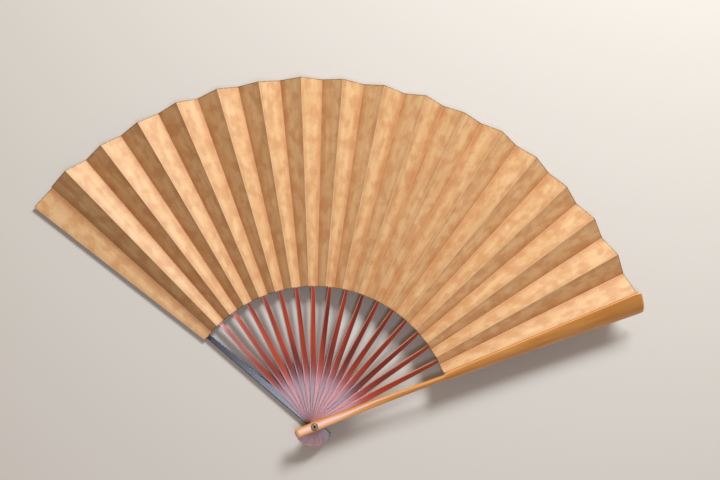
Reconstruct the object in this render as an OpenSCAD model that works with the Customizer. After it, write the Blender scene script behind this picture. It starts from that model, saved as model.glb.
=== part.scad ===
// Folding hand fan, shown open and lying on its back guard.
// Sixteen thin sticks and two thick guards turn on one tubular rivet. A paper leaf of
// thirty-five flat panels runs from guard to guard: one panel on each stick and guard, and
// one free panel between each two of them. The origin is on the rivet's axis, at the table,
// with +Z up through the rivet and +Y along the middle of the open fan.

/* [Fan] */
// Number of sticks, both guards counted
sticks = 18; // [12:1:18]
// Angle between neighbouring sticks when the fan is open
open_step = 7.02; // [6.4:0.02:7.4]
// Distance from the rivet to the outer ends of the guards
reach = 301; // [240:1:364]

/* [Leaf] */
// Radius of the outer edge of the leaf
leaf_outer = 298; // [236:1:360]
// How far the leaf's panel on the back guard stands out past the other panels
leaf_overhang = 3.3; // [0:0.1:6]
// Radius of the inner edge of the leaf
leaf_inner = 117.5; // [97:0.5:142]
// Flat angle of one leaf panel between two folds
panel_angle = 4.22; // [4.1:0.02:5.1]
// Thickness of the leaf paper
paper_t = 0.24; // [0.2:0.01:0.3]
// Room left at each fold, on each panel's edge
fold_inset = 0.3; // [0.2:0.05:0.4]
// Room between two leaf layers when the fan is shut
layer_gap = 0.03; // [0.02:0.005:0.04]

/* [Sticks] */
// Thickness of a stick
stick_t = 0.95; // [0.79:0.01:1.2]
// Running play between two sticks on the rivet
stick_play = 0.05; // [0.03:0.01:0.08]
// Width of a stick at the rivet
stick_w = 7; // [5.5:0.1:8.4]
// Width of a stick where it reaches the leaf
stick_neck_w = 4; // [3:0.1:4.8]
// Length of a stick's head, from the rivet to its end
stick_head = 17; // [13:0.5:20.5]
// Cut across the corners of a stick's head
stick_corner = 0.9; // [0.4:0.1:1.2]
// Width of the rib that carries a leaf panel
rib_w = 3.6; // [2.8:0.1:4.4]
// Thickness of the rib
rib_t = 0.42; // [0.3:0.01:0.5]
// Clearance around the rib in its paper pocket
rib_clear = 0.03; // [0.02:0.01:0.04]
// Length of rib that shows inside the leaf's inner edge
rib_show = 2.5; // [1.5:0.5:4]
// Distance from the rib's outer end to the leaf's outer edge
rib_short = 14; // [8:1:25]
// Gap between the flat part of a stick or guard and the part past its neck, which twists
neck_gap = 0.5; // [0.3:0.1:0.8]

/* [Guards] */
// Thickness of a guard
guard_t = 3; // [2.5:0.1:3.6]
// Width of a guard at the rivet
guard_w = 7.6; // [6.3:0.1:9.2]
// Width of a guard at its waist, just inside the leaf
guard_waist_w = 4.3; // [3.6:0.1:5.2]
// Length of the slope from the waist to the shoulder
guard_shoulder = 5; // [3:0.5:8]
// How far the shoulder lies inside the edge of its leaf panel
shoulder_inset = 0.2; // [0:0.1:0.8]
// Distance from the rivet to a guard's square head
guard_head = 16.2; // [13.5:0.1:19.5]
// Cut across the corners of a guard's head
guard_corner = 0.8; // [0.4:0.1:1.2]

/* [Rivet] */
// Radius of the rivet's tube
tube_r = 1.25; // [1.05:0.05:1.5]
// Radius of the cord hole through the tube
cord_hole_r = 0.8; // [0.5:0.05:0.85]
// Running clearance between the tube and the holes of the sticks
tube_clear = 0.05; // [0.03:0.01:0.08]
// Radius of the turned-over lip at each end of the tube
lip_r = 1.75; // [1.6:0.05:2]
// Thickness of the lip
lip_t = 0.25; // [0.2:0.01:0.3]
// Radius of a washer
washer_r = 3.05; // [2.6:0.05:3.1]
// Thickness of a washer
washer_t = 0.62; // [0.5:0.01:0.75]
// Bevel around a washer's show side
washer_bevel = 0.4; // [0.2:0.05:0.45]
// Clearance around a washer and under its inner face
washer_clear = 0.03; // [0.02:0.01:0.05]

/* [Hidden] */
$fn = 64;
last = sticks - 1;
spread = last * open_step;
half_panel = panel_angle / 2;
// Lean of a panel when the fan is open: seen from above, it then spans half a step
tilt = acos(tan(open_step / 2) / tan(panel_angle));
pitch = stick_t + stick_play;
// A stick's leaf panel is two sheets with the rib between them
pleat_t = pitch - paper_t - 2 * layer_gap;
front_z = guard_t + stick_play + (last - 1) * pitch;
top_z = front_z + guard_t;
rib_start = leaf_inner - rib_show;
stick_end = rib_start - neck_gap;
// A panel's straight ends lie this far out, so that its corners meet the leaf's radii
panel_inner = leaf_inner * cos(half_panel);
panel_outer = leaf_outer * cos(half_panel);
hole_r = tube_r + tube_clear;
counterbore_d = lip_t + washer_t + washer_clear;

stick_colour = [0.42, 0.13, 0.08];
paper_colour = [0.93, 0.78, 0.58];
bamboo_colour = [0.80, 0.47, 0.20];
lacquer_colour = [0.09, 0.09, 0.11];
horn_colour = [0.36, 0.28, 0.17];
brass_colour = [0.55, 0.42, 0.24];

// Direction of stick k's middle line, from the back guard (0) to the front guard (last)
function stick_dir(k) = 90 + spread / 2 - k * open_step;
// Direction of the low fold beside stick k's panel
function fold_dir(k) = stick_dir(k) - half_panel;
// Middle level of stick k in the stack
function mid_z(k) = guard_t + stick_play + stick_t / 2 + (k - 1) * pitch;
// Half the width of a leaf panel at distance x along its middle line
function panel_half(x) = x * tan(half_panel) - fold_inset / cos(half_panel);
// Two figures, so that names sort
function two(n) = n < 10 ? str("0", n) : str(n);

// Moves what follows to stick k, at height z
module at_stick(k, z) rotate([0, 0, stick_dir(k)]) translate([0, 0, z]) children();

// Leans what follows about the low fold beside stick k, with the fold along X at height z
module at_fold(k, z, lean)
    rotate([0, 0, fold_dir(k)]) translate([0, 0, z]) rotate([lean, 0, 0]) children();

// Turns what follows from the fold to the middle line of stick k's own panel
module on_panel() rotate([0, 0, half_panel]) children();

// A closed outline, the same on both sides of X, from [x, half width] stations
module mirrored_outline(stations)
    polygon(concat(
        stations,
        [for (i = [len(stations) - 1 : -1 : 0]) [stations[i][0], -stations[i][1]]]
    ));

module pivot_hole(height)
    translate([0, 0, -1]) cylinder(r = hole_r, h = height + 2);

// One flat leaf panel, its middle line along X and its outer end at distance x
module panel(thickness, x = panel_outer)
    linear_extrude(thickness)
        mirrored_outline([
            [panel_inner, panel_half(panel_inner)],
            [x, panel_half(x)]
        ]);

// A bar around the rib: the rib itself, or its pocket when room is given
module rib_bar(room)
    translate([rib_start - room, -rib_w / 2 - room, -rib_t / 2 - room])
        cube([
            panel_outer - rib_short - rib_start + 2 * room,
            rib_w + 2 * room,
            rib_t + 2 * room
        ]);

// Stations of a guard's head and handle, up to distance x
function handle_stations(x) = [
    [-guard_head, guard_w / 2 - guard_corner],
    [-guard_head + guard_corner, guard_w / 2],
    [0, guard_w / 2],
    [x, guard_waist_w / 2]
];

// Stations of a guard's blade, from its waist to its outer end
function blade_stations() = [
    [rib_start, guard_waist_w / 2],
    [rib_start + guard_shoulder, panel_half(rib_start + guard_shoulder) - shoulder_inset],
    [reach, panel_half(reach)]
];

// The back guard is one bar. Its blade is a little thinner, to seat its leaf panel.
module rear_guard() {
    leaf_seat = mid_z(0) + pleat_t / 2 - paper_t;
    color(lacquer_colour)
        at_stick(0, 0)
            difference() {
                union() {
                    linear_extrude(guard_t) mirrored_outline(handle_stations(rib_start));
                    linear_extrude(leaf_seat) mirrored_outline(blade_stations());
                }
                pivot_hole(guard_t);
                translate([0, 0, -1])
                    cylinder(r = washer_r + washer_clear, h = counterbore_d + 1);
            }
}

module leaf_rear()
    color(paper_colour)
        at_stick(0, mid_z(0) + pleat_t / 2 - paper_t) panel(paper_t, panel_outer + leaf_overhang);

module stick(k)
    color(stick_colour)
        at_stick(k, mid_z(k) - stick_t / 2)
            difference() {
                linear_extrude(stick_t)
                    mirrored_outline([
                        [-stick_head, stick_w / 2 - stick_corner],
                        [-stick_head + stick_corner, stick_w / 2],
                        [0, stick_w / 2],
                        [stick_end, stick_neck_w / 2]
                    ]);
                pivot_hole(stick_t);
            }

// The leaf panel on stick k, two sheets thick, with the stick's rib inside
module pleat(k)
    at_fold(k, mid_z(k), tilt) on_panel() {
        color(paper_colour)
            difference() {
                translate([0, 0, -pleat_t / 2]) panel(pleat_t);
                rib_bar(rib_clear);
            }
        color(stick_colour) rib_bar(0);
    }

// The free leaf panel between sticks k and k + 1
module fold(k)
    color(paper_colour)
        at_fold(k, mid_z(k) + pitch / 2, -tilt)
            rotate([0, 0, -half_panel])
                translate([0, 0, -paper_t / 2]) panel(paper_t);

module front_handle()
    color(bamboo_colour)
        at_stick(last, front_z)
            difference() {
                linear_extrude(guard_t) mirrored_outline(handle_stations(stick_end));
                pivot_hole(guard_t);
            }

module front_blade() {
    leaf_seat = -pleat_t / 2 + paper_t;
    color(bamboo_colour)
        at_fold(last, mid_z(last), tilt)
            on_panel()
                translate([0, 0, leaf_seat])
                    linear_extrude(guard_t - stick_t / 2 - leaf_seat)
                        mirrored_outline(blade_stations());
}

module leaf_front()
    color(paper_colour)
        at_fold(last, mid_z(last), tilt)
            on_panel() translate([0, 0, -pleat_t / 2]) panel(paper_t);

// A tube with a lip turned over at each end
module rivet_tube() {
    tube_top = top_z + washer_clear + washer_t + lip_t;
    color(brass_colour)
        rotate_extrude()
            polygon([
                [cord_hole_r, 0],
                [lip_r, 0],
                [lip_r, lip_t],
                [tube_r, lip_t],
                [tube_r, tube_top - lip_t],
                [lip_r, tube_top - lip_t],
                [lip_r, tube_top],
                [cord_hole_r, tube_top]
            ]);
}

// A bevelled washer with its show side up
module washer()
    color(horn_colour)
        rotate_extrude()
            polygon([
                [tube_r + washer_clear, 0],
                [washer_r, 0],
                [washer_r, washer_t - washer_bevel],
                [washer_r - washer_bevel, washer_t],
                [tube_r + washer_clear, washer_t]
            ]);

module washer_rear() translate([0, 0, lip_t + washer_t]) mirror([0, 0, 1]) washer();

module washer_front() translate([0, 0, top_z + washer_clear]) washer();

rear_guard();
leaf_rear();
front_handle();
front_blade();
leaf_front();
rivet_tube();
washer_rear();
washer_front();
for (k = [1 : last - 1])
    stick(k);
for (k = [1 : last - 1])
    pleat(k);
for (k = [0 : last - 1])
    fold(k);
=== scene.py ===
import math

import bpy
import numpy as np
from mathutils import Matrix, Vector


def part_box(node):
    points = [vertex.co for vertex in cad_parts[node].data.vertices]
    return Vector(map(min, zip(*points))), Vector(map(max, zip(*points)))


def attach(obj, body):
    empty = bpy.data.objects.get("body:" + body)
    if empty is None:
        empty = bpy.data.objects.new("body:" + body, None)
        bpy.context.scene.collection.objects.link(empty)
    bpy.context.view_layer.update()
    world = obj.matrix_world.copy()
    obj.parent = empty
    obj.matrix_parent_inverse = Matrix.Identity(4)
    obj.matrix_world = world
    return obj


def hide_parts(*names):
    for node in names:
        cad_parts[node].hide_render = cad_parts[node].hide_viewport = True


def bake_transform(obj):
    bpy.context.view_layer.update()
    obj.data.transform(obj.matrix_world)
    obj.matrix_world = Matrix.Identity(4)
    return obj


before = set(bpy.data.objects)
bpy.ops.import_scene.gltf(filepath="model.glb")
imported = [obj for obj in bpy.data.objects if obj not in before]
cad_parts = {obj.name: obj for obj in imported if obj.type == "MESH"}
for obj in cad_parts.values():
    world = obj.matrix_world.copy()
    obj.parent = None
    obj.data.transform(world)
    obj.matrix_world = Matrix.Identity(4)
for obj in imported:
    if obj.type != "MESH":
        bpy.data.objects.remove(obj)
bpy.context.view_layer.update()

# ---------------------------------------------------------------------------------------
# Camera. A 50 mm lens looks almost straight down on the open fan from 0.87 m above the
# table, turned a little so that the fan leans to the right.
camera = bpy.data.objects.new("camera", bpy.data.cameras.new("camera"))
bpy.context.collection.objects.link(camera)
camera.data.lens = 50
camera.data.sensor_width = 36
camera.location = (-0.0406, 0.0751, 0.8666)
camera.rotation_euler = [math.radians(a) for a in (5.12, -4.45, 9.50)]
bpy.context.scene.camera = camera
bpy.context.scene.view_settings.view_transform = "Standard"


# ---------------------------------------------------------------------------------------
# Studio. A pale matt table top, a soft lamp from beyond the leaf that rakes over the
# pleats, a small lamp overhead that shows in the lacquer by the rivet, and a dim warm sky.
def linear(code):
    """An sRGB hex colour as a linear RGBA tuple."""
    parts = [int(code[i : i + 2], 16) / 255 for i in (1, 3, 5)]
    return tuple(c / 12.92 if c <= 0.04045 else ((c + 0.055) / 1.055) ** 2.4 for c in parts) + (1.0,)


def add(tree, kind, inputs=None, **settings):
    """A new shader node with its settings, its input values and the sockets linked to it."""
    made = tree.nodes.new(kind)
    for name, value in settings.items():
        setattr(made, name, value)
    for name, value in (inputs or {}).items():
        if isinstance(value, bpy.types.NodeSocket):
            tree.links.new(value, made.inputs[name])
        else:
            made.inputs[name].default_value = value
    return made


def lamp(name, azimuth, elevation, distance, size, watts, aim, tint):
    """A square soft lamp that faces a point on the table."""
    made = bpy.data.objects.new(name, bpy.data.lights.new(name, "AREA"))
    bpy.context.collection.objects.link(made)
    a, e = math.radians(azimuth), math.radians(elevation)
    back = Vector((math.cos(a) * math.cos(e), math.sin(a) * math.cos(e), math.sin(e)))
    made.location = Vector(aim) + back * distance
    made.rotation_euler = back.to_track_quat("Z", "Y").to_euler()
    made.data.size = size
    made.data.energy = watts
    made.data.color = linear(tint)[:3]
    return made


lamp("key_lamp", 74, 39, 1.6, 0.45, 30, (0.0, 0.16, 0.0), "#F4F7FA")
lamp("gloss_lamp", -51, 85.8, 0.96, 0.15, 1.6, (0.0, 0.0, 0.0), "#DFE6FF")

sky = bpy.data.worlds.new("sky")
bpy.context.scene.world = sky
sky.use_nodes = True
sky.node_tree.nodes["Background"].inputs["Color"].default_value = linear("#F3D4B0")
sky.node_tree.nodes["Background"].inputs["Strength"].default_value = 0.29

bpy.ops.mesh.primitive_plane_add(size=6, location=(0, 0, -0.0002))
table = bpy.context.object
table.name = "table"
table.data.materials.append(bpy.data.materials.new("table_paint"))
table.data.materials[0].use_nodes = True
table_shader = table.data.materials[0].node_tree.nodes["Principled BSDF"]
table_shader.inputs["Base Color"].default_value = linear("#D9D6CF")
table_shader.inputs["Roughness"].default_value = 0.9


# ---------------------------------------------------------------------------------------
# Leaf. Aged mulberry paper in thirty-five panels, pleated and glued over the ribs. An inner
# stick's panel is a pocket of two sheets with its mouth at the inner edge; each other panel
# is the two sheets glued together. Free panels share a crease line with each neighbour.
sticks = 18
last = sticks - 1
open_step = math.radians(7.02)
panel_angle = math.radians(4.22)
half_panel = panel_angle / 2
tilt = math.acos(math.tan(open_step / 2) / math.tan(panel_angle))
guard_thick = 0.0030
stick_thick = 0.00095
pitch = 0.0010
paper_thick = 0.00024
leaf_inner = 0.1175
leaf_outer = 0.2980
rib_wide = 0.0036
rim_spare = 0.0036  # how far the leaf's corner by the back guard stands past the rim
rim_spare_folds = 4.6  # how many folds it takes to come in to the rim
drift_around = 0.00030  # errors of folding by hand, at the rim: around the rivet, out and up
drift_out = 0.0007
drift_up = 0.00002
bow_all = 0.00003  # how far a panel bows along its whole length, and in a wave along it
bow_wave = 0.00002
bow_eases_in = 0.0025  # a pocket doesn't bow over its rib, and bows fully this far beside it
pocket_over_rib = 0.00015  # half of a pocket's opening, over its rib and beside its folds
pocket_by_fold = 0.00004
pocket_shuts_at = 0.012  # distance from the rim at which a pocket starts to shut
pocket_shuts_in = 0.011
sheet_shift = 0.041  # moves each panel's pattern on, so that no two panels look the same


def stick_dir(k):
    """Direction of stick k's middle line, from the back guard (0) to the front guard."""
    return math.pi / 2 + last * open_step / 2 - k * open_step


def fold_dir(k):
    """Direction of the low fold beside stick k."""
    return stick_dir(k) - half_panel


def mid_z(k):
    """Middle level of stick k in the stack."""
    return guard_thick + pitch - stick_thick / 2 + (k - 1) * pitch


def smooth(t):
    """Eases from 0 to 1."""
    t = np.clip(t, 0, 1)
    return t * t * (3 - 2 * t)


def lean_about_fold(points, k, angle):
    """Points given with X along stick k's low fold, leaned about it and put in their place."""
    x, y, z = points.T
    c, s = np.cos(angle), np.sin(angle)
    y, z = y * c - z * s, y * s + z * c
    a = fold_dir(k)
    return np.stack(
        [x * math.cos(a) - y * math.sin(a), x * math.sin(a) + y * math.cos(a), z + mid_z(k)], 1
    )


wander = np.random.default_rng(11).normal(0, 1, (2, sticks + 1, 3))
wander = np.clip(wander, -1.3, 1.3)


def even_crease(k, high, r):
    """Points on the low or the high fold of stick k at distances r."""
    flat = panel_angle if high else 0.0
    points = np.stack([r * math.cos(flat), r * math.sin(flat), 0 * r], 1)
    points = lean_about_fold(points, k, tilt)
    points[:, 2] += -pitch / 4 if high else pitch / 4
    return points


def crease(k, high, r):
    """The same fold as the hand made it, a little uneven towards the rim."""
    around, out, up = wander[int(high), k] * np.array([drift_around, drift_out, drift_up])
    share = np.clip((r - leaf_inner) / (leaf_outer - leaf_inner), 0, 1)
    points = even_crease(k, high, r)
    x, y = (points[:, :2] / np.linalg.norm(points[:, :2], axis=1)[:, None]).T
    points[:, 0] += share * (out * x - around * y)
    points[:, 1] += share * (out * y + around * x)
    points[:, 2] += share * up
    return points


def rib_drift(k, r):
    """How far the middle of stick k's panel lies from its even place, so that its rib follows."""
    middle = (crease(k, False, r) + crease(k, True, r)) / 2
    even = (even_crease(k, False, r) + even_crease(k, True, r)) / 2
    return middle - even


def trimmed(k, high):
    """Radius of the leaf's rim at a fold of stick k. It was trimmed wide by the back guard."""
    folds = 2 * k + (0 if high else 1)
    return leaf_outer + rim_spare * (1 - smooth(folds / rim_spare_folds))


def paper_panel(name, low_line, high_line, rims, seed, pocket):
    """A pleat of paper between two creases: a grid laid over them, bowed, and given its
    thickness. A pocket's grid goes out over the rib and back under it."""
    columns, rows = (40 if pocket else 18), 72
    bpy.ops.mesh.primitive_grid_add(x_subdivisions=columns, y_subdivisions=rows, size=2)
    piece = bpy.context.object
    piece.name = name
    grid = np.array([v.co for v in piece.data.vertices])
    turn, out = (grid[:, 0] + 1) / 2, (grid[:, 1] + 1) / 2
    side = 1 - np.abs(2 * turn - 1) if pocket else turn
    rim = rims[0] + side * (rims[1] - rims[0])
    r = leaf_inner + out * (rim - leaf_inner)
    low, high = low_line(r), high_line(r)
    chord = np.linalg.norm(high - low, axis=1)
    up = np.cross(np.stack([low[:, 0], low[:, 1], 0 * r], 1), high - low)
    up /= np.linalg.norm(up, axis=1)[:, None] * np.sign(up[:, 2:])
    warp = np.random.default_rng(seed)
    bow = warp.uniform(-bow_all, bow_all)
    bow = bow + warp.uniform(-bow_wave, bow_wave) * np.sin(out * math.pi * 2)
    lift = bow * (0.35 + 0.65 * out) * np.sin(side * math.pi)
    if pocket:
        off_rib = np.abs(side - 0.5) * chord - rib_wide / 2
        gap = pocket_over_rib * (1 - smooth(off_rib / (chord / 2 - rib_wide / 2)))
        gap *= 1 - smooth((r - leaf_outer + pocket_shuts_at) / pocket_shuts_in)
        gap += pocket_by_fold * np.sqrt(np.sin(side * math.pi))
        lift = lift * 1.5 * smooth(off_rib / bow_eases_in) + np.where(turn <= 0.5, gap, -gap)
    place = low + side[:, None] * (high - low) + lift[:, None] * up
    piece.data.vertices.foreach_set("co", place.ravel())
    for label, value in (
        ("from_low", side * chord * 1000),
        ("from_high", (1 - side) * chord * 1000),
        ("from_mouth", (r - leaf_inner) * 1000),
        ("from_rim", (rim - r) * 1000),
    ):
        layer = piece.data.attributes.new(label, "FLOAT", "POINT")
        layer.data.foreach_set("value", value.astype(np.float32))
    bpy.ops.object.mode_set(mode="EDIT")
    bpy.ops.mesh.select_all(action="SELECT")
    bpy.ops.mesh.remove_doubles(threshold=0.000004)
    bpy.ops.mesh.normals_make_consistent(inside=False)
    bpy.ops.object.mode_set(mode="OBJECT")
    piece.data.uv_layers.remove(piece.data.uv_layers[0])
    sheet = piece.data.uv_layers.new(name="sheet")
    corner = np.array([loop.vertex_index for loop in piece.data.loops])
    across, along = (
        np.array([point.value for point in piece.data.attributes[label].data])[corner] / 1000
        for label in ("from_low", "from_mouth")
    )
    uv = np.stack([across + sheet_shift * seed, along], 1)
    sheet.data.foreach_set("uv", uv.astype(np.float32).ravel())
    bpy.ops.object.modifier_add(type="SOLIDIFY")
    piece.modifiers[-1].thickness = paper_thick / 2 if pocket else paper_thick
    piece.modifiers[-1].offset = 1 if pocket else 0
    bpy.ops.object.modifier_apply(modifier=piece.modifiers[-1].name)
    bpy.ops.object.shade_smooth_by_angle(angle=math.radians(40))
    piece.data.materials.append(aged_paper)
    return piece


# Mulberry paper, hand made and sized: matt, tanned by age, cloudy where the size has
# yellowed, cockled along the pleats, darker beside its creases with painted shade, paler on
# them where they are rubbed and where a highlight is painted, and dark at its cut edges. Its
# fibre pattern is coarser than real fibres, so that it shows.
aged_paper = bpy.data.materials.new("aged_mulberry_paper")
aged_paper.use_nodes = True
tree = aged_paper.node_tree
shader = tree.nodes["Principled BSDF"]
spot = add(tree, "ShaderNodeTexCoord").outputs["Object"]
sheet = add(tree, "ShaderNodeUVMap", uv_map="sheet").outputs["UV"]
brushed = add(tree, "ShaderNodeMapping", {"Vector": sheet, "Scale": (1 / 0.005, 1 / 0.045, 1)})
cloud = add(
    tree, "ShaderNodeTexNoise",
    {"Vector": brushed.outputs["Vector"], "Scale": 1.0, "Detail": 3.0},
)
blots = add(tree, "ShaderNodeMapping", {"Vector": sheet, "Scale": (1 / 0.009, 1 / 0.013, 1)})
stain = add(
    tree, "ShaderNodeTexNoise",
    {"Vector": blots.outputs["Vector"], "Scale": 1.0, "Detail": 4.0},
)
fibre = add(
    tree, "ShaderNodeTexNoise",
    {"Vector": spot, "Scale": 1 / 0.0011, "Detail": 4.0, "Roughness": 0.7},
)
cloudy = add(
    tree, "ShaderNodeMapRange",
    {"Value": cloud.outputs["Fac"], "From Min": 0.36, "From Max": 0.64},
)
stained = add(
    tree, "ShaderNodeMapRange",
    {"Value": stain.outputs["Fac"], "From Min": 0.44, "From Max": 0.60},
)
tan = add(
    tree, "ShaderNodeMix",
    {0: cloudy.outputs["Result"], 6: linear("#E6BE8C"), 7: linear("#DBAE7A")},
    data_type="RGBA",
)
blotch = add(
    tree, "ShaderNodeMath", {0: stained.outputs["Result"], 1: 0.5}, operation="MULTIPLY"
)
tan = add(
    tree, "ShaderNodeMix",
    {0: blotch.outputs[0], 6: tan.outputs[2], 7: linear("#C38450")}, data_type="RGBA",
)
low = add(tree, "ShaderNodeAttribute", attribute_name="from_low").outputs["Fac"]
high = add(tree, "ShaderNodeAttribute", attribute_name="from_high").outputs["Fac"]
mouth = add(tree, "ShaderNodeAttribute", attribute_name="from_mouth").outputs["Fac"]
rim = add(tree, "ShaderNodeAttribute", attribute_name="from_rim").outputs["Fac"]
# Painted shade: bands darkened beside each fold, deepest and widest by the low fold in the valley of
# the pleat.
for fold, reach_mm, strength in ((low, 6.5, 0.48), (high, 4.0, 0.26)):
    fold_shade = add(
        tree, "ShaderNodeMapRange",
        {"Value": fold, "From Min": 0.5, "From Max": reach_mm, "To Min": strength, "To Max": 0.0},
    )
    tan = add(
        tree, "ShaderNodeMix",
        {0: fold_shade.outputs["Result"], 6: tan.outputs[2], 7: linear("#B06A34")},
        data_type="RGBA",
    )
# Paler lines on the folds: rubbed wear together with a painted highlight where a crease catches the
# light.
nearest = add(tree, "ShaderNodeMath", {0: low, 1: high}, operation="MINIMUM")
wear_and_highlight = add(
    tree, "ShaderNodeMapRange",
    {"Value": nearest.outputs[0], "From Min": 0.12, "From Max": 0.5, "To Min": 0.5, "To Max": 0.0},
)
tan = add(
    tree, "ShaderNodeMix",
    {0: wear_and_highlight.outputs["Result"], 6: tan.outputs[2], 7: linear("#F0CFA4")},
    data_type="RGBA",
)
edge = add(tree, "ShaderNodeMath", {0: mouth, 1: rim}, operation="MINIMUM")
cut = add(
    tree, "ShaderNodeMapRange",
    {"Value": edge.outputs[0], "From Min": 0.3, "From Max": 0.9, "To Min": 0.85, "To Max": 0.0},
)
nick = add(
    tree, "ShaderNodeMapRange",
    {"Value": fibre.outputs["Fac"], "From Min": 0.60, "From Max": 0.52},
)
cut = add(
    tree, "ShaderNodeMath",
    {0: cut.outputs["Result"], 1: nick.outputs["Result"]}, operation="MULTIPLY",
)
tan = add(
    tree, "ShaderNodeMix",
    {0: cut.outputs[0], 6: tan.outputs[2], 7: linear("#5E3A22")}, data_type="RGBA",
)
grain = add(
    tree, "ShaderNodeMapRange",
    {"Value": fibre.outputs["Fac"], "To Min": 0.93, "To Max": 1.07},
)
tan = add(
    tree, "ShaderNodeMix", {0: 1.0, 6: tan.outputs[2], 7: grain.outputs["Result"]},
    data_type="RGBA", blend_type="MULTIPLY",
)
tree.links.new(tan.outputs[2], shader.inputs["Base Color"])
cockle = add(
    tree, "ShaderNodeBump",
    {"Strength": 0.8, "Distance": 0.0004, "Height": cloud.outputs["Fac"]},
)
bump = add(
    tree, "ShaderNodeBump",
    {
        "Strength": 0.35, "Distance": 0.00012, "Height": fibre.outputs["Fac"],
        "Normal": cockle.outputs["Normal"],
    },
)
tree.links.new(bump.outputs["Normal"], shader.inputs["Normal"])
shader.inputs["Roughness"].default_value = 0.53
shader.inputs["Specular IOR Level"].default_value = 0.5

for k in range(1, last):
    leaf_pleat = paper_panel(
        f"leaf_pleat_{k:02d}",
        lambda r, k=k: crease(k, False, r),
        lambda r, k=k: crease(k, True, r),
        (trimmed(k, False), trimmed(k, True)), 100 + k, True,
    )
    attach(leaf_pleat, f"pleat_{k:02d}")
    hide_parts(f"pleat_{k:02d}")
for k in range(last):
    leaf_fold = paper_panel(
        f"leaf_fold_{k + 1:02d}",
        lambda r, k=k: crease(k, False, r),
        lambda r, k=k: crease(k + 1, True, r),
        (trimmed(k, False), trimmed(k + 1, True)), 200 + k, False,
    )
    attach(leaf_fold, f"fold_{k + 1:02d}")
    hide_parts(f"fold_{k + 1:02d}")


glued_mid = 0.00023  # from a stick's middle level to the middle of a panel glued on a guard


def rear_line(left):
    """The two edges of the panel that lies flat on the back guard."""
    def line(r):
        a = stick_dir(0) + (half_panel if left else -half_panel)
        return np.stack([r * math.cos(a), r * math.sin(a), 0 * r + mid_z(0) + glued_mid], 1)
    return line


def front_line(high):
    """The two edges of the panel under the front guard's blade."""
    def line(r):
        flat = panel_angle if high else 0.0
        points = np.stack([r * math.cos(flat), r * math.sin(flat), 0 * r - glued_mid], 1)
        return lean_about_fold(points, last, tilt)
    return line


leaf_rear = paper_panel(
    "leaf_on_rear_guard", rear_line(False), rear_line(True),
    (trimmed(0, False), trimmed(0, True)), 301, False,
)
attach(leaf_rear, "back")
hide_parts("leaf_rear")
leaf_front = paper_panel(
    "leaf_under_front_guard", front_line(False), front_line(True),
    (leaf_outer, leaf_outer), 302, False,
)
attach(leaf_front, "front_blade")
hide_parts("leaf_front")


# ---------------------------------------------------------------------------------------
# Sticks. Sixteen thin slats of bamboo, split, planed and finished with red-brown lacquer.
# Each tapers from its head to its neck, where it twists to lie in its pleat, and runs on
# between the leaf's two sheets as a slim rib. The slats turn on the rivet.
twist_start = 0.022
twist_end = 0.1135
slice_long = 0.0022  # length of a slat's slices, short enough to twist smoothly
slice_least = 0.00012
crown_changes = (0.02, 0.12)  # from the crown of a slat's head to that of its blade
grain_shift = 0.37  # moves each slat's grain on, so that no two slats look the same


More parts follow.
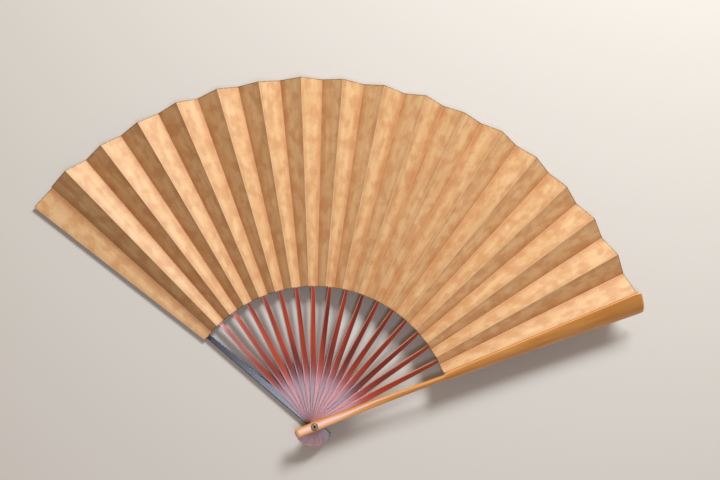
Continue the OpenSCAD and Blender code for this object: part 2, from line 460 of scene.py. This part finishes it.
def slat(name, stations, crown, bevel, bore, k, twisted):
    """A slat from stations of (distance, half width, bottom, top): a bar cut across into
    short lengths, shaped, its long edges rounded, bored for the rivet, then twisted. The
    crown is how far its upper side falls to each edge, at the head and at the blade."""
    stations = np.array(stations)
    even = np.arange(stations[0, 0], stations[-1, 0], slice_long)
    reach = np.unique(np.concatenate([stations[:, 0], even]))
    reach = reach[np.concatenate([[True], np.diff(reach) > slice_least])]
    bpy.ops.object.select_all(action="DESELECT")
    bpy.ops.mesh.primitive_cube_add(size=1, location=(0, 0, 0))
    piece = bpy.context.object
    piece.name = name
    for axis, cuts in ((0, len(reach) - 2), (1, 5)):
        bpy.ops.object.mode_set(mode="EDIT")
        bpy.ops.mesh.select_mode(type="EDGE")
        bpy.ops.mesh.select_all(action="DESELECT")
        bpy.ops.object.mode_set(mode="OBJECT")
        for side in piece.data.edges:
            a, b = (piece.data.vertices[i].co for i in side.vertices)
            side.select = abs(a[axis] - b[axis]) > 0.9
        bpy.ops.object.mode_set(mode="EDIT")
        bpy.ops.mesh.subdivide(number_cuts=cuts)
        bpy.ops.object.mode_set(mode="OBJECT")
    bar = np.array([v.co for v in piece.data.vertices])
    row = np.rint((bar[:, 0] + 0.5) * (len(reach) - 1)).astype(int)
    x = reach[row]
    half, bottom, top = (np.interp(x, stations[:, 0], stations[:, i]) for i in (1, 2, 3))
    across = bar[:, 1] * 2
    upper = top - np.interp(x, crown_changes, crown) * across**2
    flat = np.stack([x, across * half, np.where(bar[:, 2] > 0, upper, bottom)], 1)
    piece.data.vertices.foreach_set("co", flat.ravel())
    bpy.ops.object.modifier_add(type="BEVEL")
    rounding = piece.modifiers[-1]
    rounding.width = bevel
    rounding.segments = 3
    rounding.angle_limit = math.radians(50)
    bpy.ops.object.modifier_apply(modifier=rounding.name)
    for radius, floor, depth in bore:
        middle = (0, 0, floor + depth / 2)
        bpy.ops.mesh.primitive_cylinder_add(vertices=48, radius=radius, depth=depth, location=middle)
        drill = bpy.context.object
        bpy.context.view_layer.objects.active = piece
        cut = piece.modifiers.new("bore", "BOOLEAN")
        cut.object = drill
        cut.operation = "DIFFERENCE"
        bpy.ops.object.modifier_apply(modifier=cut.name)
        bpy.data.objects.remove(drill)
    bpy.ops.object.mode_set(mode="EDIT")
    bpy.ops.mesh.select_all(action="SELECT")
    bpy.ops.mesh.remove_doubles(threshold=0.00001)
    bpy.ops.mesh.dissolve_degenerate(threshold=0.00001)
    bpy.ops.object.mode_set(mode="OBJECT")
    flat = np.array([v.co for v in piece.data.vertices])
    layer = piece.data.attributes.new("from_edge", "FLOAT", "POINT")
    from_side = np.interp(flat[:, 0], stations[:, 0], stations[:, 1]) - np.abs(flat[:, 1])
    from_end = np.minimum(flat[:, 0] - stations[0, 0], stations[-1, 0] - flat[:, 0])
    layer.data.foreach_set("value", (np.minimum(from_side, from_end) * 1000).astype(np.float32))
    while piece.data.uv_layers:
        piece.data.uv_layers.remove(piece.data.uv_layers[0])
    grain = piece.data.uv_layers.new(name="grain")
    corner = np.array([loop.vertex_index for loop in piece.data.loops])
    uv = np.stack([flat[corner, 0] + grain_shift * k, flat[corner, 1] + flat[corner, 2]], 1)
    grain.data.foreach_set("uv", uv.astype(np.float32).ravel())
    c, s = math.cos(half_panel), math.sin(half_panel)
    x, y, z = flat.T
    turned = np.stack([x * c - y * s, x * s + y * c, z], 1)
    share = smooth((turned[:, 0] - twist_start) / (twist_end - twist_start))
    place = lean_about_fold(turned, k, tilt * share if twisted else 0.0)
    if 0 < k < last:
        place += rib_drift(k, turned[:, 0])
    piece.data.vertices.foreach_set("co", place.ravel())
    piece.data.update()
    bpy.context.view_layer.objects.active = piece
    piece.select_set(True)
    bpy.ops.object.shade_smooth_by_angle(angle=math.radians(35))
    return piece


def twist_between(piece):
    """Bakes the piece's placement into its mesh, with its neck twisted as in the open fan."""
    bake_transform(piece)


# Red-brown lacquer over bamboo: a clear deep gloss with the straight fibres showing
# through it, each stick a little lighter or darker, and the arrises and ends paler, rubbed and
# with a painted highlight.
red_lacquer = bpy.data.materials.new("red_brown_lacquer")
red_lacquer.use_nodes = True
tree = red_lacquer.node_tree
shader = tree.nodes["Principled BSDF"]
grain = add(tree, "ShaderNodeUVMap", uv_map="grain").outputs["UV"]
strands = add(
    tree, "ShaderNodeMapping",
    {"Vector": grain, "Scale": (1 / 0.030, 1 / 0.00045, 1)},
)
strand = add(
    tree, "ShaderNodeTexNoise",
    {"Vector": strands.outputs["Vector"], "Scale": 1.0, "Detail": 3.0},
)
bands = add(tree, "ShaderNodeMapping", {"Vector": grain, "Scale": (1 / 0.110, 1 / 0.016, 1)})
band = add(
    tree, "ShaderNodeTexNoise",
    {"Vector": bands.outputs["Vector"], "Scale": 1.0, "Detail": 2.0},
)
deep = add(
    tree, "ShaderNodeMapRange",
    {"Value": band.outputs["Fac"], "From Min": 0.40, "From Max": 0.60},
)
tone = add(
    tree, "ShaderNodeMix",
    {0: deep.outputs["Result"], 6: linear("#A93A24"), 7: linear("#5A1519")}, data_type="RGBA",
)
streak = add(
    tree, "ShaderNodeMapRange",
    {"Value": strand.outputs["Fac"], "From Min": 0.45, "From Max": 0.75, "To Max": 0.6},
)
tone = add(
    tree, "ShaderNodeMix",
    {0: streak.outputs["Result"], 6: tone.outputs[2], 7: linear("#B4482F")}, data_type="RGBA",
)
# Paler arrises and ends: rubbed wear together with a painted highlight where the edges catch the light.
edge = add(tree, "ShaderNodeAttribute", attribute_name="from_edge").outputs["Fac"]
wear_and_highlight = add(
    tree, "ShaderNodeMapRange",
    {"Value": edge, "From Min": 0.12, "From Max": 0.5, "To Min": 0.8, "To Max": 0.0},
)
tone = add(
    tree, "ShaderNodeMix",
    {0: wear_and_highlight.outputs["Result"], 6: tone.outputs[2], 7: linear("#D99A88")}, data_type="RGBA",
)
tree.links.new(tone.outputs[2], shader.inputs["Base Color"])
bump = add(
    tree, "ShaderNodeBump",
    {"Strength": 0.25, "Distance": 0.00006, "Height": strand.outputs["Fac"]},
)
tree.links.new(bump.outputs["Normal"], shader.inputs["Normal"])
shader.inputs["Roughness"].default_value = 0.34
shader.inputs["Coat Weight"].default_value = 1.0
shader.inputs["Coat Roughness"].default_value = 0.26

stick_flat = stick_thick / 2
rib_flat = 0.00012
bore_radius = 0.0013
for k in range(1, last):
    stick = slat(
        f"stick_{k:02d}_slat",
        [
            (-0.0170, 0.0031, -stick_flat, stick_flat),
            (-0.0166, 0.0035, -stick_flat, stick_flat),
            (0.0, 0.0035, -stick_flat, stick_flat),
            (0.1105, 0.00204, -stick_flat, stick_flat),
            (0.1160, rib_wide / 2, -rib_flat, rib_flat),
            (0.2820, rib_wide / 2, -rib_flat, rib_flat),
        ],
        (0.0, 0.0), 0.00022, [(bore_radius, -0.001, 0.002)], k, True,
    )
    stick.data.materials.append(red_lacquer)
    twist_between(stick)
    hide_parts(f"stick_{k:02d}")


# ---------------------------------------------------------------------------------------
# Front guard. One slip of bamboo with its domed skin side out, clear varnished: a square
# head, a slim handle, and past its waist a blade as wide as the leaf panel glued under it.
blade_end = 0.3010
guard_top = guard_thick - stick_flat
leaf_seat = -0.00011


def panel_half(x):
    """Half the width of a leaf panel at distance x, less the room at its folds."""
    return x * math.tan(half_panel) - 0.0003


# Clear varnish over the skin of bamboo: a warm gold with fine straight fibres, glossy, and
# a little paler along the arrises, where they are rubbed and where a highlight is painted.
varnished_bamboo = bpy.data.materials.new("varnished_bamboo")
varnished_bamboo.use_nodes = True
tree = varnished_bamboo.node_tree
shader = tree.nodes["Principled BSDF"]
grain = add(tree, "ShaderNodeUVMap", uv_map="grain").outputs["UV"]
strands = add(tree, "ShaderNodeMapping", {"Vector": grain, "Scale": (1 / 0.045, 1 / 0.0006, 1)})
strand = add(
    tree, "ShaderNodeTexNoise",
    {"Vector": strands.outputs["Vector"], "Scale": 1.0, "Detail": 4.0},
)
bands = add(tree, "ShaderNodeMapping", {"Vector": grain, "Scale": (1 / 0.060, 1 / 0.006, 1)})
band = add(
    tree, "ShaderNodeTexNoise",
    {"Vector": bands.outputs["Vector"], "Scale": 1.0, "Detail": 3.0},
)
deep = add(
    tree, "ShaderNodeMapRange",
    {"Value": band.outputs["Fac"], "From Min": 0.35, "From Max": 0.65},
)
tone = add(
    tree, "ShaderNodeMix",
    {0: deep.outputs["Result"], 6: linear("#ECA95C"), 7: linear("#DA9044")}, data_type="RGBA",
)
streak = add(
    tree, "ShaderNodeMapRange",
    {"Value": strand.outputs["Fac"], "From Min": 0.5, "From Max": 0.8, "To Max": 0.5},
)
tone = add(
    tree, "ShaderNodeMix",
    {0: streak.outputs["Result"], 6: tone.outputs[2], 7: linear("#A6622C")}, data_type="RGBA",
)
# Paler arrises and ends: rubbed wear together with a painted highlight where the edges catch the light.
edge = add(tree, "ShaderNodeAttribute", attribute_name="from_edge").outputs["Fac"]
wear_and_highlight = add(
    tree, "ShaderNodeMapRange",
    {"Value": edge, "From Min": 0.1, "From Max": 0.6, "To Min": 0.3, "To Max": 0.0},
)
tone = add(
    tree, "ShaderNodeMix",
    {0: wear_and_highlight.outputs["Result"], 6: tone.outputs[2], 7: linear("#E8AC68")}, data_type="RGBA",
)
tree.links.new(tone.outputs[2], shader.inputs["Base Color"])
bump = add(
    tree, "ShaderNodeBump",
    {"Strength": 0.2, "Distance": 0.00008, "Height": strand.outputs["Fac"]},
)
tree.links.new(bump.outputs["Normal"], shader.inputs["Normal"])
shader.inputs["Roughness"].default_value = 0.31
shader.inputs["Coat Weight"].default_value = 1.0
shader.inputs["Coat Roughness"].default_value = 0.24

front_guard = slat(
    "front_guard_slip",
    [
        (-0.0162, 0.0034, -stick_flat, guard_top - 0.0001),
        (-0.0158, 0.0038, -stick_flat, guard_top),
        (0.0, 0.0038, -stick_flat, guard_top),
        (0.1120, 0.00218, -stick_flat, guard_top),
        (0.1155, 0.00218, leaf_seat, guard_top),
        (0.1200, panel_half(0.1200) - 0.0002, leaf_seat, guard_top),
        (blade_end - 0.0035, panel_half(blade_end - 0.0035), leaf_seat, guard_top),
        (blade_end - 0.0016, panel_half(blade_end) - 0.0006, leaf_seat, guard_top),
        (blade_end - 0.0005, panel_half(blade_end) - 0.0015, leaf_seat, guard_top - 0.0001),
        (blade_end, panel_half(blade_end) - 0.0028, leaf_seat, guard_top - 0.0004),
    ],
    (0.00022, 0.0010), 0.00045, [(bore_radius, -0.002, 0.006)], last, True,
)
front_guard.data.materials.append(varnished_bamboo)
twist_between(front_guard)
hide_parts("front_handle", "front_blade")


# ---------------------------------------------------------------------------------------
# Rear guard. The same slip in black lacquer. It lies flat on the table; its upper side is
# shaved a little thinner past the waist to seat the first leaf panel.

# Black lacquer over bamboo: a cool near-black gloss that takes a blue-grey sheen from the
# lamp, with its arrises grey, rubbed and with a painted highlight.
black_lacquer = bpy.data.materials.new("black_lacquer")
black_lacquer.use_nodes = True
tree = black_lacquer.node_tree
shader = tree.nodes["Principled BSDF"]
grain = add(tree, "ShaderNodeUVMap", uv_map="grain").outputs["UV"]
strands = add(tree, "ShaderNodeMapping", {"Vector": grain, "Scale": (1 / 0.040, 1 / 0.0006, 1)})
strand = add(
    tree, "ShaderNodeTexNoise",
    {"Vector": strands.outputs["Vector"], "Scale": 1.0, "Detail": 3.0},
)
streak = add(
    tree, "ShaderNodeMapRange",
    {"Value": strand.outputs["Fac"], "From Min": 0.4, "From Max": 0.7},
)
tone = add(
    tree, "ShaderNodeMix",
    {0: streak.outputs["Result"], 6: linear("#1D222C"), 7: linear("#313A49")}, data_type="RGBA",
)
# Grey arrises: rubbed wear together with a painted grey highlight along the edges.
edge = add(tree, "ShaderNodeAttribute", attribute_name="from_edge").outputs["Fac"]
wear_and_highlight = add(
    tree, "ShaderNodeMapRange",
    {"Value": edge, "From Min": 0.05, "From Max": 0.4, "To Min": 0.5, "To Max": 0.0},
)
tone = add(
    tree, "ShaderNodeMix",
    {0: wear_and_highlight.outputs["Result"], 6: tone.outputs[2], 7: linear("#7C8494")}, data_type="RGBA",
)
tree.links.new(tone.outputs[2], shader.inputs["Base Color"])
bump = add(
    tree, "ShaderNodeBump",
    {"Strength": 0.2, "Distance": 0.00006, "Height": strand.outputs["Fac"]},
)
tree.links.new(bump.outputs["Normal"], shader.inputs["Normal"])
shader.inputs["Roughness"].default_value = 0.3
shader.inputs["Coat Weight"].default_value = 1.0
shader.inputs["Coat Roughness"].default_value = 0.26

foot = -mid_z(0)
shave = mid_z(0) + glued_mid - paper_thick / 2
counterbore = (0.00308, foot - 0.001, 0.0019)
rear_guard = slat(
    "rear_guard_slip",
    [
        (-0.0162, 0.0031, foot, foot + guard_thick),
        (-0.0155, 0.0038, foot, foot + guard_thick),
        (0.0, 0.0038, foot, foot + guard_thick),
        (0.1160, 0.00215, foot, foot + guard_thick),
        (0.1168, 0.0023, foot, foot + shave),
        (0.1210, panel_half(0.1200) - 0.0002, foot, foot + shave),
        (0.2998, panel_half(0.2998), foot, foot + shave),
        (0.3005, panel_half(0.2998) - 0.0007, foot, foot + shave),
    ],
    (0.0, 0.0), 0.0003, [(bore_radius, foot - 0.001, 0.006), counterbore], 0, False,
)
rear_guard.data.materials.append(black_lacquer)
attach(rear_guard, "back")
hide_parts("rear_guard")


# ---------------------------------------------------------------------------------------
# Rivet. A brass tube whose ends are turned over on two polished horn washers, one let into
# the back guard and one proud of the front guard. A cord can pass through the tube.
def lathe(name, profile):
    """A ring turned from a closed outline of (radius, height) points."""
    bpy.ops.object.select_all(action="DESELECT")
    bpy.ops.mesh.primitive_circle_add(vertices=72, radius=profile[0][0], location=(0, 0, profile[0][1]))
    piece = bpy.context.object
    piece.name = name
    bpy.ops.object.transform_apply(location=True, rotation=True, scale=True)
    bpy.ops.object.mode_set(mode="EDIT")
    bpy.ops.mesh.select_all(action="SELECT")
    for (r0, z0), (r1, z1) in zip(profile, profile[1:] + profile[:1]):
        bpy.ops.mesh.extrude_region_move(TRANSFORM_OT_translate={"value": (0, 0, z1 - z0)})
        bpy.ops.transform.resize(value=(r1 / r0, r1 / r0, 1), center_override=(0, 0, z1))
    bpy.ops.mesh.select_all(action="SELECT")
    bpy.ops.mesh.remove_doubles(threshold=0.000002)
    bpy.ops.mesh.normals_make_consistent(inside=False)
    bpy.ops.object.mode_set(mode="OBJECT")
    bpy.ops.object.shade_smooth_by_angle(angle=math.radians(40))
    return piece


# Polished horn: mottled olive brown, with a soft shine.
polished_horn = bpy.data.materials.new("polished_horn")
polished_horn.use_nodes = True
tree = polished_horn.node_tree
shader = tree.nodes["Principled BSDF"]
spot = add(tree, "ShaderNodeTexCoord").outputs["Object"]
mottle = add(tree, "ShaderNodeTexNoise", {"Vector": spot, "Scale": 1 / 0.0016, "Detail": 4.0})
shade = add(
    tree, "ShaderNodeMapRange",
    {"Value": mottle.outputs["Fac"], "From Min": 0.38, "From Max": 0.64},
)
tone = add(
    tree, "ShaderNodeMix",
    {0: shade.outputs["Result"], 6: linear("#857550"), 7: linear("#4A3C26")}, data_type="RGBA",
)
tree.links.new(tone.outputs[2], shader.inputs["Base Color"])
shader.inputs["Roughness"].default_value = 0.28
shader.inputs["Coat Weight"].default_value = 0.4

# Aged brass: a dull gold metal, browned in spots by tarnish.
aged_brass = bpy.data.materials.new("aged_brass")
aged_brass.use_nodes = True
tree = aged_brass.node_tree
shader = tree.nodes["Principled BSDF"]
spot = add(tree, "ShaderNodeTexCoord").outputs["Object"]
tarnish = add(tree, "ShaderNodeTexNoise", {"Vector": spot, "Scale": 1 / 0.0009, "Detail": 5.0})
dull = add(
    tree, "ShaderNodeMapRange",
    {"Value": tarnish.outputs["Fac"], "From Min": 0.35, "From Max": 0.65},
)
tone = add(
    tree, "ShaderNodeMix",
    {0: dull.outputs["Result"], 6: linear("#A88B55"), 7: linear("#5C4A2C")}, data_type="RGBA",
)
tree.links.new(tone.outputs[2], shader.inputs["Base Color"])
shader.inputs["Metallic"].default_value = 1.0
shader.inputs["Roughness"].default_value = 0.4

for end, node in (("front", "washer_front"), ("rear", "washer_rear")):
    floor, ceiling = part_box(node)[0].z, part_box(node)[1].z
    inner, outer, rise = (floor, ceiling, 1) if end == "front" else (ceiling, floor, -1)
    washer = lathe(
        f"washer_{end}_horn",
        [
            (0.00128, inner),
            (0.00305, inner),
            (0.00305, inner + 0.22e-3 * rise),
            (0.00294, inner + 0.38e-3 * rise),
            (0.00270, inner + 0.52e-3 * rise),
            (0.00235, inner + 0.60e-3 * rise),
            (0.00195, outer),
            (0.00128, outer),
        ],
    )
    washer.data.materials.append(polished_horn)
    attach(washer, "back")
    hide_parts(node)

tube_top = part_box("rivet_tube")[1].z
lip = [(0.00088, 0.0), (0.00155, 0.0), (0.00170, 0.00006), (0.00175, 0.00014), (0.00172, 0.00025)]
tube = lathe(
    "rivet_tube_brass",
    lip
    + [(0.00125, 0.00025), (0.00125, tube_top - 0.00025)]
    + [(radius, tube_top - height) for radius, height in reversed(lip)]
    + [(0.00080, tube_top - 0.00012), (0.00080, 0.00012)],
)
tube.data.materials.append(aged_brass)
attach(tube, "back")
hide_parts("rivet_tube")
